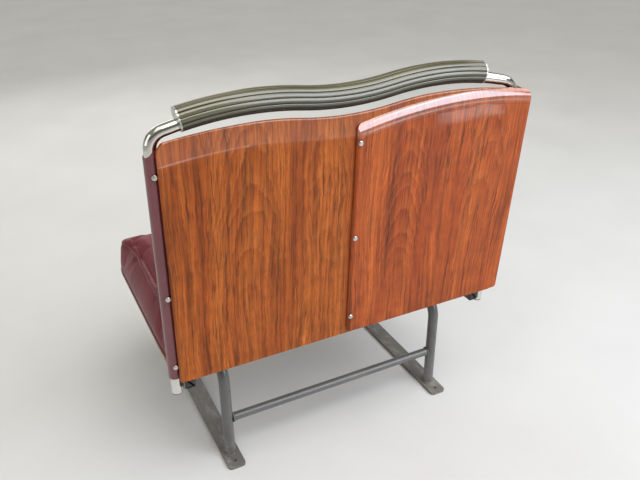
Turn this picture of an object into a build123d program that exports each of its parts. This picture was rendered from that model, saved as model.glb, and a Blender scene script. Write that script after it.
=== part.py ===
from build123d import *
import os
from math import asin, atan, cos, hypot, pi, radians, sin, sqrt, tan

os.makedirs("parts", exist_ok=True)

# ---------------------------------------------------------------------------
# Fixed two-place passenger seat of a small bus.
# Frame: +Z up, floor at Z = 0, the seat faces -Y, its back is towards +Y.
# +X is the aisle side, -X is the window side.  Millimetres.
# Origin: middle of the bounding box, at floor level.
#
# The back has its own coordinates, as seen from behind: u to the window side
# (u = -X), v up the leaning back, w to the rear.  w = 0 holds the centre
# lines of the uprights and of the grab rail.
# ---------------------------------------------------------------------------

# overall
half_w = 450.0            # half of the full width
recline = 4.0             # lean of the back from the vertical, degrees
back_y0 = 212.5           # where the line of the uprights meets the floor
front_y = -311.1          # front of the seat cushions

# grab rail and uprights: one bent chrome tube
tube_r = 12.5
wrap_r = 15.0             # covered upright, outside radius
wrap_in = tube_r + 0.3
upright_u = {"aisle": -435.0, "window": 421.0}
corner_r = {"aisle": 34.0, "window": 52.0}   # bend radius of the top corners
upright_foot = 293.0      # lower end, measured along the back
wrap_foot = 340.0

# wave of the top edge: a hump over each place, a dip between them
wave_u0 = -27.0           # the wave's middle
dip_v = 906.0             # wood's top edge at the dip
hump_rise = 16.5
hump_u = 214.0            # from the dip to each hump
wood_fall_r = 1300.0      # radius of the wood's top edge outside its humps
rail_over_wood = 23.5     # tube centre above the wood's top edge

# wood back, a sheet behind the uprights
wood_front, wood_rear = 19.0, 27.0
wood_u = {"aisle": -430.0, "window": 437.0}
wood_foot = 336.0
lip_h = 44.0              # height of the band that leans forward at the top
lip_lean = 6.0            # its lean, degrees
wood_corner_r = 32.0

# raised shell over the window half
shell_in, shell_out = -13.0, half_w
shell_front = wood_rear + 0.3
shell_t = 9.0
shell_wall = 8.0          # its side wall, forward round the window upright
shell_wall_w = -14.0
shell_band, shell_roll = 22.0, 9.5   # band rolled over along its top
shell_foot = 346.0
shell_pts = [(0.0, 886.0), (282.0, 915.0), (415.0, 904.0)]  # top edge, an arc
shell_corner_r = {"inner": 16.0, "outer": 28.0}

# grip pad on the rail
grip_u = (-376.0, 310.0)
grip_cap_t = 3.0
notch_w, notch_d = 1.4, 1.7    # groove between two ribs

# upholstery
back_pad_foot, back_pad_top = 452.0, 889.0
back_pad_u = {"aisle": -424.0, "window": 410.0}
cushion_z0, cushion_z1 = 345.0, 455.0
cushion_rear_y = 200.0
core_foot, core_top = 350.0, 838.0

# base
pan_t = 12.0
pan_y0, pan_y1 = -298.0, 210.0
rail_w, rail_h = 25.0, 30.0
rail_y0, rail_y1 = -288.0, 250.0
cross_y = {"front": -270.0, "rear": 195.0}
bearer_y = {"front": -150.0, "rear": 95.0}    # these two lie on the leg frames
clamp_t, clamp_w, clamp_ear = 3.0, 24.0, 15.0
leg_r = 14.0
leg_x = 310.0
leg_y = {"front": -245.0, "rear": 190.0}
leg_bend = 55.0
stretcher_z = 120.0
foot_t, foot_w = 8.0, 46.0
foot_y0, foot_y1 = -296.0, 246.0
foot_hole_y = (-276.0, 226.0)
foot_hole_r = 4.5

# round-head screws
screw_r, screw_h = 6.5, 4.0
shell_screw_u, shell_seat = -5.5, 2.2    # sunk seats on the shell's inner edge
cover_screw_v = (842.0, 562.0, 376.0)
shell_screw_v = (844.0, 612.0, 390.0)

cr, sr = cos(radians(recline)), sin(radians(recline))
SIDES = (("aisle", -1), ("window", 1))      # name, sign of u


def back_plane(depth=0.0):
    """Plane of the back: x = u, y = v, z = w."""
    return Plane(
        origin=(0, back_y0 + depth * cr, -depth * sr),
        x_dir=(-1, 0, 0),
        z_dir=(0, cr, -sr),
    )


def back_point(u, v, w=0.0):
    return (-u, back_y0 + v * sr + w * cr, v * cr - w * sr)


def across(u, v, rise):
    """Plane across a line on the back that rises by an angle towards +u:
    local x is to the rear, local y up, local z back along the line."""
    return Plane(
        origin=back_point(u, v),
        x_dir=(0, cr, -sr),
        z_dir=(cos(rise), -sr * sin(rise), -cr * sin(rise)),
    )


def up_plane(u, v):
    """Plane across an upright, looking down it: local x = u, local y = -w."""
    return Plane(origin=back_point(u, v), x_dir=(-1, 0, 0), z_dir=(0, sr, cr))


def write(piece, label):
    piece.part.label = label
    export_step(piece.part, f"parts/{label}.step")


# ------------------------------------------------------------------ the wave
# Between the dip and each hump run two equal tangent arcs; outside the hump
# the line falls along an arc of its own.
turn = 2 * atan(hump_rise / hump_u)
wave_r = hump_u / 2 / sin(turn)


def hump_centre(sign, fall_r):
    return (wave_u0 + sign * hump_u, dip_v + hump_rise - fall_r)


def wave_half(sign, shift, end_u, fall_r):
    """Joint, middle, hump, middle and end of the wave's half on one side,
    moved up by shift, and the slope angle at its end."""
    hc = hump_centre(sign, wave_r)
    rh = wave_r + shift
    joint = (hc[0] - sign * rh * sin(turn), hc[1] + rh * cos(turn))
    mid_in = (hc[0] - sign * rh * sin(turn / 2), hc[1] + rh * cos(turn / 2))
    hump = (hc[0], hc[1] + rh)
    fc = hump_centre(sign, fall_r)
    rf = fall_r + shift
    fall = asin(sign * (end_u - fc[0]) / rf)
    mid_out = (fc[0] + sign * rf * sin(fall / 2), fc[1] + rf * cos(fall / 2))
    end = (end_u, fc[1] + rf * cos(fall))
    return joint, mid_in, hump, mid_out, end, fall


def wave_line(shift, u0, u1, fall_r):
    """Draws the wave from u0 to u1 in the current BuildLine."""
    a = wave_half(-1, shift, u0, fall_r)
    b = wave_half(1, shift, u1, fall_r)
    ThreePointArc(a[4], a[3], a[2])
    ThreePointArc(a[2], a[1], a[0])
    ThreePointArc(a[0], (wave_u0, dip_v + shift), b[0])
    ThreePointArc(b[0], b[1], b[2])
    ThreePointArc(b[2], b[3], b[4])
    return a[4], b[4]


def corner_arc(centre, radius, edge_u, r):
    """Arc of radius r that joins a circle to the upright line u = edge_u from
    inside: its start on the circle, its middle and its end."""
    sign = 1 if edge_u > centre[0] else -1
    cu = edge_u - sign * r
    cv = centre[1] + sqrt((radius - r) ** 2 - (cu - centre[0]) ** 2)
    a = asin(sign * (cu - centre[0]) / (radius - r))
    start = (centre[0] + sign * radius * sin(a), centre[1] + radius * cos(a))
    b = (a + pi / 2) / 2
    return start, (cu + sign * r * sin(b), cv + r * cos(b)), (edge_u, cv)


# ------------------------------------------------- rail and uprights, chrome
bend = {
    side: corner_arc(
        hump_centre(sign, wave_r), wave_r + rail_over_wood, upright_u[side], corner_r[side]
    )
    for side, sign in SIDES
}
for side, _ in SIDES:
    print("bend", side, [tuple(round(c, 1) for c in p) for p in bend[side]])

with BuildPart() as rail:
    with BuildLine(back_plane()) as rail_path:
        a, b = bend["aisle"], bend["window"]
        Line((upright_u["aisle"], upright_foot), a[2])
        ThreePointArc(a[2], a[1], a[0])
        wave_line(rail_over_wood, a[0][0], b[0][0], wave_r)
        ThreePointArc(b[0], b[1], b[2])
        Line(b[2], (upright_u["window"], upright_foot))
    with BuildSketch(up_plane(upright_u["aisle"], upright_foot)):
        Circle(tube_r)
    sweep(path=rail_path.wires()[0])
write(rail, "grab_rail_frame_tube")

# ------------------------------------------------------ ribbed grip on the rail
# Section across the rail: s to the rear, h up from the tube's centre.  Each
# rib is an arc between two grooves of this table; a groove is a small notch.
grip_ribs = [  # s, h of the groove, and how far the rib after it stands out
    (13.5, -10.5, 1.2),
    (21.8, -3.2, 1.6),
    (24.6, 7.6, 1.6),
    (22.6, 18.6, 1.7),
    (16.2, 28.2, 1.8),
    (5.8, 34.2, 1.8),
    (-5.8, 34.2, 1.8),
    (-16.2, 28.2, 1.7),
    (-22.6, 18.6, 1.6),
    (-24.6, 7.6, 1.6),
    (-21.8, -3.2, 1.2),
    (-13.5, -10.5, 0.0),
]
slot_r = tube_r + 0.3
slot_h = grip_ribs[0][1]
slot_s = sqrt(slot_r**2 - slot_h**2)


def grip_outline(notch, depth):
    last = len(grip_ribs) - 2
    ends = []
    for i, ((s0, h0, out), (s1, h1, _)) in enumerate(zip(grip_ribs, grip_ribs[1:])):
        length = hypot(s1 - s0, h1 - h0)
        ds, dh = (s1 - s0) / length, (h1 - h0) / length
        g0 = notch / 2 if i else 0.0
        g1 = notch / 2 if i < last else 0.0
        start = (s0 + ds * g0, h0 + dh * g0)
        end = (s1 - ds * g1, h1 - dh * g1)
        ThreePointArc(start, ((s0 + s1) / 2 + out * dh, (h0 + h1) / 2 - out * ds), end)
        ends.append((start, end))
    if notch:
        for (_, end), (start, _), (s0, h0, _) in zip(ends, ends[1:], grip_ribs[1:]):
            ds, dh = start[0] - end[0], start[1] - end[1]
            length = hypot(ds, dh)
            Polyline(end, (s0 - dh / length * depth, h0 + ds / length * depth), start)
    Line(grip_ribs[-1][:2], (-slot_s, slot_h))
    ThreePointArc((-slot_s, slot_h), (0, slot_r), (slot_s, slot_h))
    Line((slot_s, slot_h), grip_ribs[0][:2])


grip_ends = {
    side: wave_half(sign, rail_over_wood, grip_u[i], wave_r)[4:6]
    for i, (side, sign) in enumerate(SIDES)
}
with BuildPart() as grip:
    with BuildLine(back_plane()) as grip_path:
        wave_line(rail_over_wood, *grip_u, wave_r)
    (end, rise) = grip_ends["aisle"]
    with BuildSketch(across(*end, rise)):
        with BuildLine():
            grip_outline(notch_w, notch_d)
        make_face()
    sweep(path=grip_path.wires()[0])
write(grip, "grip_pad")

for side, sign in SIDES:
    (end, rise) = grip_ends[side]
    with BuildPart() as cap:
        with BuildSketch(across(*end, -sign * rise).offset(-sign * 0.2)):
            with BuildLine():
                grip_outline(0.0, 0.0)
            make_face()
        extrude(amount=-sign * grip_cap_t)
    write(cap, f"grip_end_cap_{side}")

# ------------------------------------------------------- covered uprights
# Each cover's top is cut on the slant, falling outwards.
for side, sign in SIDES:
    top_v = bend[side][2][1] - 1.0
    with BuildPart() as wrap:
        with BuildSketch(up_plane(upright_u[side], wrap_foot)):
            Circle(wrap_r)
            Circle(wrap_in, mode=Mode.SUBTRACT)
        extrude(amount=top_v - wrap_foot)
        with BuildSketch(back_plane(-30.0)):
            u = upright_u[side]
            with BuildLine():
                Polyline(
                    (u - sign * 20, top_v + 5), (u - sign * 20, top_v + 0.1),
                    (u - sign * 4, top_v + 0.1), (u + sign * 20, top_v - 19),
                    (u + sign * 20, top_v + 5), close=True,
                )
            make_face()
        extrude(amount=60.0, mode=Mode.SUBTRACT)
    write(wrap, f"upright_cover_{side}")

# ------------------------------------------------------------- wood back
# A sheet that is flat up to a bend line parallel to the wavy top, and leans
# forward above it; its top edge is rounded.
lip_slope = tan(radians(lip_lean))


def lip_outline(rear, front, height, edge):
    """Section of the band over the bend: depth, and height over the bend."""
    h = height - edge
    Polyline((front - h * lip_slope, h), (front, 0.0), (front, -4.0), (rear, -4.0),
             (rear, 0.0), (rear - h * lip_slope, h))
    ThreePointArc(
        (rear - h * lip_slope, h),
        ((rear + front) / 2 - height * lip_slope, height),
        (front - h * lip_slope, h),
    )


def edge_cutter(sign, rear, r):
    """Section that takes off a sharp rear corner at local x = 0, on a plane
    whose local y points forwards; sign is the outer side."""
    k = r * (1 - 1 / sqrt(2))
    Polyline((-sign * r, -rear), (-sign * r, -rear - 5), (sign * 5, -rear - 5),
             (sign * 5, r - rear), (0, r - rear))
    ThreePointArc((0, r - rear), (-sign * k, k - rear), (-sign * r, -rear))


with BuildPart() as wood:
    with BuildSketch(back_plane(wood_front)):
        with BuildLine():
            left, right = wave_line(-lip_h, wood_u["aisle"], wood_u["window"], wood_fall_r)
            Polyline(right, (wood_u["window"], wood_foot), (wood_u["aisle"], wood_foot), left)
        make_face()
    extrude(amount=wood_rear - wood_front)
    band_u = (wood_u["aisle"] - 12, wood_u["window"] + 12)
    with BuildLine(back_plane()) as lip_path:
        wave_line(-lip_h, *band_u, wood_fall_r)
    start = wave_half(-1, -lip_h, band_u[0], wood_fall_r)
    with BuildSketch(across(*start[4], start[5])):
        with BuildLine():
            lip_outline(wood_rear, wood_front, lip_h, 4.0)
        make_face()
    sweep(path=lip_path.wires()[0])
    # outline as seen from behind, with its rounded corners
    with BuildSketch(back_plane(-60.0)) as outline:
        with BuildLine():
            left, right = wave_line(2.0, wood_u["aisle"], wood_u["window"], wood_fall_r)
            Polyline(right, (wood_u["window"], wood_foot), (wood_u["aisle"], wood_foot), left)
        make_face()
        side_vertices = [v for v in outline.vertices() if abs(v.X) > 429.0]
        fillet([v for v in side_vertices if v.Y > 800], wood_corner_r)
        fillet([v for v in side_vertices if v.Y < 800], 14.0)
    extrude(amount=140, mode=Mode.INTERSECT)
    for side, sign in SIDES:
        with BuildSketch(up_plane(wood_u[side], wood_foot - 5)):
            with BuildLine():
                edge_cutter(sign, wood_rear, 6.0)
            make_face()
        extrude(amount=620, mode=Mode.SUBTRACT)
write(wood, "wood_back_panel")

# ------------------------------------------- raised shell, window half
def circle_through(p, q, r):
    (ax, ay), (bx, by), (cx, cy) = p, q, r
    d = 2 * (ax * (by - cy) + bx * (cy - ay) + cx * (ay - by))
    a2, b2, c2 = ax * ax + ay * ay, bx * bx + by * by, cx * cx + cy * cy
    ux = (a2 * (by - cy) + b2 * (cy - ay) + c2 * (ay - by)) / d
    uy = (a2 * (cx - bx) + b2 * (ax - cx) + c2 * (bx - ax)) / d
    return (ux, uy), hypot(ax - ux, ay - uy)


shell_c, shell_r = circle_through(*shell_pts)
shell_rear = shell_front + shell_t
shell_in_corner = corner_arc(shell_c, shell_r, shell_in, shell_corner_r["inner"])
shell_out_corner = corner_arc(shell_c, shell_r, shell_out, shell_corner_r["outer"])


def shell_arc(drop, u):
    r = shell_r - drop
    return (u, shell_c[1] + sqrt(r * r - (u - shell_c[0]) ** 2))


# room for the main panel behind the shell
with BuildPart() as panel_room:
    with BuildSketch(back_plane(shell_front - 70.0)):
        with BuildLine():
            left, right = wave_line(-lip_h, -460.0, 470.0, wood_fall_r)
            Polyline(right, (right[0], 300.0), (left[0], 300.0), left)
        make_face()
    extrude(amount=70.0)
    with BuildLine(back_plane()) as room_path:
        wave_line(-lip_h, -460.0, 470.0, wood_fall_r)
    start = wave_half(-1, -lip_h, -460.0, wood_fall_r)
    with BuildSketch(across(*start[4], start[5])):
        with BuildLine():
            Polyline(
                (-60, -1), (shell_front, -1), (shell_front, 0),
                (shell_front - 80 * lip_slope, 80), (-60, 80), close=True,
            )
        make_face()
    sweep(path=room_path.wires()[0])
    with BuildSketch(back_plane(-80.0)):
        with Locations(((shell_out - shell_wall - 500.0) / 2, 650.0)):
            Rectangle(shell_out - shell_wall + 500.0, 800.0)
    extrude(amount=160.0, mode=Mode.INTERSECT)

roll_r = (shell_band**2 + shell_roll**2) / (2 * shell_roll)
with BuildPart() as shell:
    with BuildSketch(back_plane(shell_wall_w)) as shell_outline:
        with BuildLine():
            i, o = shell_in_corner, shell_out_corner
            Line((shell_in, shell_foot), i[2])
            ThreePointArc(i[2], i[1], i[0])
            ThreePointArc(i[0], shell_arc(0, 210.0), o[0])
            ThreePointArc(o[0], o[1], o[2])
            Polyline(o[2], (shell_out, shell_foot), (shell_in, shell_foot))
        make_face()
        fillet([v for v in shell_outline.vertices() if v.Y < 400], 14.0)
    extrude(amount=shell_rear - shell_wall_w)
    add(panel_room.part, mode=Mode.SUBTRACT)
    # the band rolled over along the top
    with BuildLine(back_plane()) as band_path:
        b0, b1 = shell_arc(shell_band, -60.0), shell_arc(shell_band, 480.0)
        ThreePointArc(b0, shell_arc(shell_band, 210.0), b1)
    with BuildSketch(across(*b0, asin((shell_c[0] + 60.0) / (shell_r - shell_band)))):
        with BuildLine():
            half_roll = asin(shell_band / roll_r) / 2
            ThreePointArc(
                (shell_rear, 0.0),
                (shell_rear - roll_r * (1 - cos(half_roll)), roll_r * sin(half_roll)),
                (shell_rear - shell_roll, shell_band),
            )
            Polyline(
                (shell_rear - shell_roll, shell_band), (shell_rear - shell_roll - 3, 45.0),
                (60.0, 45.0), (60.0, 0.0), (shell_rear, 0.0),
            )
        make_face()
    sweep(path=band_path.wires()[0], mode=Mode.SUBTRACT)
    # rounded rear edges: straight up the inner side, and round the outer corner
    with BuildSketch(up_plane(shell_in, shell_foot - 5)):
        with BuildLine():
            edge_cutter(-1, shell_rear, 8.4)
        make_face()
    extrude(amount=620, mode=Mode.SUBTRACT)
    with BuildSketch(back_plane(shell_rear - shell_seat)):
        with Locations(*[(shell_screw_u, v) for v in shell_screw_v]):
            Circle(screw_r + 0.5)
    extrude(amount=shell_seat + 3.0, mode=Mode.SUBTRACT)
    with BuildLine(back_plane()) as edge_path:
        Line((shell_out, shell_foot - 5), o[2])
        ThreePointArc(o[2], o[1], o[0])
        ThreePointArc(o[0], shell_arc(0, o[0][0] - 40), shell_arc(0, o[0][0] - 80))
    with BuildSketch(up_plane(shell_out, shell_foot - 5)):
        with BuildLine():
            edge_cutter(1, shell_rear, 8.0)
        make_face()
    sweep(path=edge_path.wires()[0], mode=Mode.SUBTRACT)
write(shell, "window_side_back_shell")

# --------------------------------------------------- core behind the pads
core_u = (upright_u["aisle"] + wrap_r + 2, upright_u["window"] - wrap_r - 2)
with BuildPart() as core:
    with BuildSketch(back_plane(-15.0)):
        with Locations((sum(core_u) / 2, (core_foot + core_top) / 2)):
            Rectangle(core_u[1] - core_u[0], core_top - core_foot)
    extrude(amount=wood_front - 0.3 + 15.0)
write(core, "backrest_core_board")

# --------------------------------------------------------- back pads
# Section in (w, v): thicker at the small of the back, and reaching back over
# the core at the top, between the uprights.
for side, sign in SIDES:
    inner = 2.0 * sign
    with BuildPart() as pad:
        with BuildSketch(
            Plane(origin=back_point(inner, 0), x_dir=(0, cr, -sr), z_dir=(1, 0, 0))
        ) as prof:
            with BuildLine():
                Polyline((-62.0, back_pad_top - 8), (-16.0, back_pad_top), (-16.0, back_pad_foot),
                         (-92.0, back_pad_foot))
                ThreePointArc((-92.0, back_pad_foot), (-96.0, back_pad_foot + 150), (-62.0, back_pad_top - 8))
            make_face()
            fillet([v for v in prof.vertices() if v.X < -50], 20.0)
        extrude(amount=inner - back_pad_u[side])
        with BuildSketch(
            Plane(origin=back_point(inner, 0), x_dir=(0, cr, -sr), z_dir=(1, 0, 0))
        ):
            with BuildLine():
                Polyline((-30.0, core_top + 1), (14.0, core_top + 1), (12.5, back_pad_top),
                         (-30.0, back_pad_top - 3), close=True)
            make_face()
        extrude(amount=inner - sign * (abs(upright_u[side]) - wrap_r - 5.0))
    write(pad, f"back_cushion_{side}")

# --------------------------------------------------------- seat cushions
for side, sign in SIDES:
    with BuildPart() as pad:
        with BuildSketch(Plane(origin=(-sign * 2.0, 0, 0), x_dir=(0, 1, 0), z_dir=(1, 0, 0))) as prof:
            with BuildLine():
                Polyline(
                    (front_y, cushion_z0), (cushion_rear_y, cushion_z0),
                    (cushion_rear_y, cushion_z1 - 12), (front_y, cushion_z1), close=True,
                )
            make_face()
            fillet([v for v in prof.vertices() if v.X < 0 and v.Y > 400], 38.0)
            fillet([v for v in prof.vertices() if v.X > 0 and v.Y > 400], 20.0)
        extrude(amount=-sign * (half_w - 5.0))
    write(pad, f"seat_cushion_{side}")

# ------------------------------------------------------------ seat base
pan_z0 = cushion_z0 - 0.3 - pan_t
with BuildPart() as pan:
    with BuildSketch(Plane.XY.offset(pan_z0)) as pan_outline:
        with Locations((0, (pan_y0 + pan_y1) / 2)):
            Rectangle(2 * (half_w - 10.0), pan_y1 - pan_y0)
        fillet(pan_outline.vertices(), 18.0)
    extrude(amount=pan_t)
write(pan, "seat_pan_board")

rail_top = pan_z0 - 0.3
rail_z = rail_top - rail_h / 2
rail_x = {side: -upright_u[side] + sign * (tube_r + 3.6 + rail_w / 2) for side, sign in SIDES}
for side, sign in SIDES:
    with BuildPart() as side_rail:
        with Locations((rail_x[side], (rail_y0 + rail_y1) / 2, rail_z)):
            Box(rail_w, rail_y1 - rail_y0, rail_h)
        fillet(side_rail.edges().filter_by(Axis.Y), 3.0)
    write(side_rail, f"seat_side_rail_{side}")

cross_x0 = rail_x["window"] + rail_w / 2 + 0.2
cross_x1 = rail_x["aisle"] - rail_w / 2 - 0.2
cross_rows = [(f"seat_cross_rail_{name}", y) for name, y in cross_y.items()]
cross_rows += [(f"leg_bearer_{name}", y) for name, y in bearer_y.items()]
for label, y in cross_rows:
    with BuildPart() as cross:
        with Locations(((cross_x0 + cross_x1) / 2, y, rail_z)):
            Box(cross_x1 - cross_x0, rail_w, rail_h)
        fillet(cross.edges().filter_by(Axis.X), 3.0)
    write(cross, label)

# plate between each upright and its side rail
upright_y = back_y0 + rail_z / cr * sr
for side, sign in SIDES:
    x0 = rail_x[side] - sign * (rail_w / 2 + 0.2)
    with BuildPart() as bracket:
        with BuildSketch(Plane(origin=(x0, 0, 0), x_dir=(0, 1, 0), z_dir=(1, 0, 0))) as plate:
            with Locations((upright_y, rail_z)):
                Rectangle(34.0, rail_h - 2)
            fillet(plate.vertices(), 5.0)
        extrude(amount=-sign * 3.0)
    write(bracket, f"upright_bracket_{side}")

# ------------------------------------------------------------ leg frames
leg_top_z = rail_top - rail_h - 0.3 - leg_r
for side, sign in SIDES:
    x = -sign * leg_x
    with BuildPart() as leg:
        with BuildLine(Plane(origin=(x, 0, 0), x_dir=(0, 1, 0), z_dir=(1, 0, 0))) as leg_path:
            FilletPolyline(
                (leg_y["front"], foot_t), (leg_y["front"], leg_top_z),
                (leg_y["rear"], leg_top_z), (leg_y["rear"], foot_t), radius=leg_bend,
            )
        with BuildSketch(Plane(origin=(x, leg_y["front"], foot_t), x_dir=(1, 0, 0), z_dir=(0, 0, 1))):
            Circle(leg_r)
        sweep(path=leg_path.wires()[0])
    write(leg, f"leg_frame_{side}")

    with BuildPart() as foot:
        with BuildSketch(Plane.XY) as foot_outline:
            with Locations((x, (foot_y0 + foot_y1) / 2)):
                Rectangle(foot_w, foot_y1 - foot_y0)
            fillet(foot_outline.vertices(), 10.0)
            with Locations(*[(x, y) for y in foot_hole_y]):
                Circle(foot_hole_r, mode=Mode.SUBTRACT)
        extrude(amount=foot_t)
    write(foot, f"foot_rail_{side}")

# straps that hold the leg frames to the bearers
strap_top = leg_top_z + leg_r
strap_in = leg_r + 0.2
strap_out = strap_in + clamp_t
for side, sign in SIDES:
    for name, y in bearer_y.items():
        with BuildPart() as clamp:
            with BuildSketch(
                Plane(origin=(-sign * leg_x, y + clamp_w / 2, leg_top_z), x_dir=(1, 0, 0), z_dir=(0, -1, 0))
            ):
                Circle(strap_out)
                with Locations((0, leg_r / 2)):
                    Rectangle(2 * strap_out, leg_r)
                with Locations((0, leg_r - clamp_t / 2)):
                    Rectangle(2 * (strap_out + clamp_ear), clamp_t)
                with Locations((0, leg_r + 50.0)):
                    Rectangle(200.0, 100.0, mode=Mode.SUBTRACT)
                Circle(strap_in, mode=Mode.SUBTRACT)
                with Locations((0, leg_r)):
                    Rectangle(2 * strap_in, 2 * leg_r, mode=Mode.SUBTRACT)
            extrude(amount=clamp_w)
        write(clamp, f"leg_clamp_{side}_{name}")

stretcher_x = leg_x - leg_r - 0.2
with BuildPart() as stretcher:
    with BuildSketch(
        Plane(origin=(-stretcher_x, leg_y["rear"], stretcher_z), x_dir=(0, 1, 0), z_dir=(1, 0, 0))
    ):
        Circle(11.0)
    extrude(amount=2 * stretcher_x)
write(stretcher, "rear_leg_stretcher")

# ------------------------------------------------------------ dome screws
screw_rows = [  # label, u, w of the seat under the heads, heights
    ("cover_screws_aisle", upright_u["aisle"], wrap_r + 0.2, cover_screw_v),
    ("shell_screws_inner", shell_screw_u, shell_rear - shell_seat + 0.2, shell_screw_v),
]
for label, u, w, heights in screw_rows:
    with BuildPart() as screws:
        for v in heights:
            centre = back_plane(w)
            with BuildSketch(centre):
                with Locations((u, v)):
                    Circle(screw_r)
            extrude(amount=screw_h)
        rear_dir = Vector(0, cr, -sr)
        mid = (Vector(*back_point(u, heights[0], w + screw_h / 2))).dot(rear_dir)
        fillet(
            [e for e in screws.edges().filter_by(GeomType.CIRCLE) if e.center().dot(rear_dir) > mid],
            screw_h * 0.8,
        )
    write(screws, label)
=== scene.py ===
from math import asin, atan, atan2, cos, hypot, pi, radians, sin, sqrt, tan

import bmesh
import bpy
import numpy as np
from mathutils import Matrix, Vector, noise
from mathutils.bvhtree import BVHTree


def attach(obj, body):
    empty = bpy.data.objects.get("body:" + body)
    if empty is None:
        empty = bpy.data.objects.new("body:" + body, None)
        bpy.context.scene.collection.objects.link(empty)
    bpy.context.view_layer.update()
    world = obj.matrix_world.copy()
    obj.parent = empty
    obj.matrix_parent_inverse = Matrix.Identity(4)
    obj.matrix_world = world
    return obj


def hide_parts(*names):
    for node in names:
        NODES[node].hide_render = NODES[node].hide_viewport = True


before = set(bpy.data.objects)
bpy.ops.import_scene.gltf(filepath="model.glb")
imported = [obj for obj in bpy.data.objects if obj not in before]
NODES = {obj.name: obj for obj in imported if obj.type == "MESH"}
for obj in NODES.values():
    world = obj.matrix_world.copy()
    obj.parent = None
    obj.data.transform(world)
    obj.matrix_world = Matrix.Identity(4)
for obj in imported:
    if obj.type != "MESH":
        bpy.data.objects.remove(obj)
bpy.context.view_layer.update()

SCENE = bpy.context.scene

# --------------------------------------------------------------------------
# The back's own coordinates, in metres: u to the window side, v up the
# leaning back, w to the rear.
# --------------------------------------------------------------------------
CR, SR = cos(radians(4.0)), sin(radians(4.0))
BACK_Y0 = 0.2125


def back_point(u, v, w=0.0):
    return Vector((-u, BACK_Y0 + v * SR + w * CR, v * CR - w * SR))


def circle_through(p, q, r):
    (ax, ay), (bx, by), (cx, cy) = p, q, r
    d = 2 * (ax * (by - cy) + bx * (cy - ay) + cx * (ay - by))
    a2, b2, c2 = ax * ax + ay * ay, bx * bx + by * by, cx * cx + cy * cy
    ux = (a2 * (by - cy) + b2 * (cy - ay) + c2 * (ay - by)) / d
    uy = (a2 * (cx - bx) + b2 * (ax - cx) + c2 * (bx - ax)) / d
    return (ux, uy), hypot(ax - ux, ay - uy)


SHELL_C, SHELL_R = circle_through((0.0, 0.886), (0.282, 0.915), (0.415, 0.904))


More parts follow.
